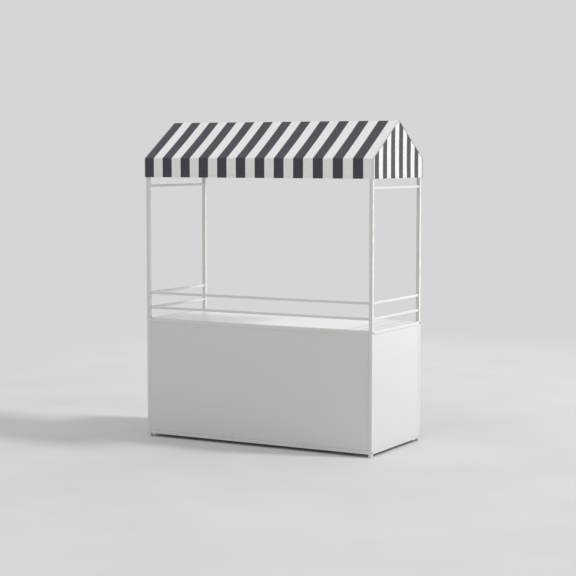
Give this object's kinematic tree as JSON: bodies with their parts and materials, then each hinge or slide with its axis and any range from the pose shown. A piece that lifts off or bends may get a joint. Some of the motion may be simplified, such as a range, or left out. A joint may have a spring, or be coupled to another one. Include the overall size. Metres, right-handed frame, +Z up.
{
  "type": "market stall",
  "caption": "Free-standing market stall with a white square-tube frame, a panelled counter cabinet, guard rails and a striped gable canopy.",
  "frame": {"origin": "on the floor under the middle of the stall", "axes": "+X to the customer's right along the front, +Y from the customer's side to the open back, +Z up"},
  "size_m": [1.61, 0.7, 2.01],
  "materials": {
    "frame_steel": "satin white powder coat on welded and bolted square steel tube",
    "board": "smooth matte white board",
    "foot_cap": "matte moulded plastic",
    "canopy_cloth": "woven polyester in equal dark grey and white stripes, hemmed and seamed"
  },
  "bodies": {
    "root": {"foot_front_left": "foot_cap", "foot_front_right": "foot_cap", "foot_back_left": "foot_cap", "foot_back_right": "foot_cap", "post_front_left": "frame_steel", "post_front_right": "frame_steel", "post_back_left": "frame_steel", "post_back_right": "frame_steel", "bottom_rail_front": "frame_steel", "bottom_rail_back": "frame_steel", "bottom_rail_left": "frame_steel", "bottom_rail_right": "frame_steel", "top_rail_front": "frame_steel", "top_rail_back": "frame_steel", "top_rail_left": "frame_steel", "top_rail_right": "frame_steel", "front_panel": "board", "left_panel": "board", "right_panel": "board", "countertop": "board", "counter_bearers": "frame_steel", "bottom_shelf": "board", "middle_shelf": "board", "shelf_rail_front": "frame_steel", "shelf_rail_back": "frame_steel", "front_guard": "frame_steel", "left_guard": "frame_steel", "right_guard": "frame_steel", "cross_rail_left": "frame_steel", "cross_rail_right": "frame_steel", "eave_rail_front": "frame_steel", "eave_rail_back": "frame_steel", "rafter_front_left": "frame_steel", "rafter_front_right": "frame_steel", "rafter_back_left": "frame_steel", "rafter_back_right": "frame_steel", "ridge_rail": "frame_steel", "canopy_front_slope": "canopy_cloth", "canopy_back_slope": "canopy_cloth", "canopy_front_valance": "canopy_cloth", "canopy_back_valance": "canopy_cloth", "canopy_left_gable": "canopy_cloth", "canopy_right_gable": "canopy_cloth"}
  },
  "joints": []
}
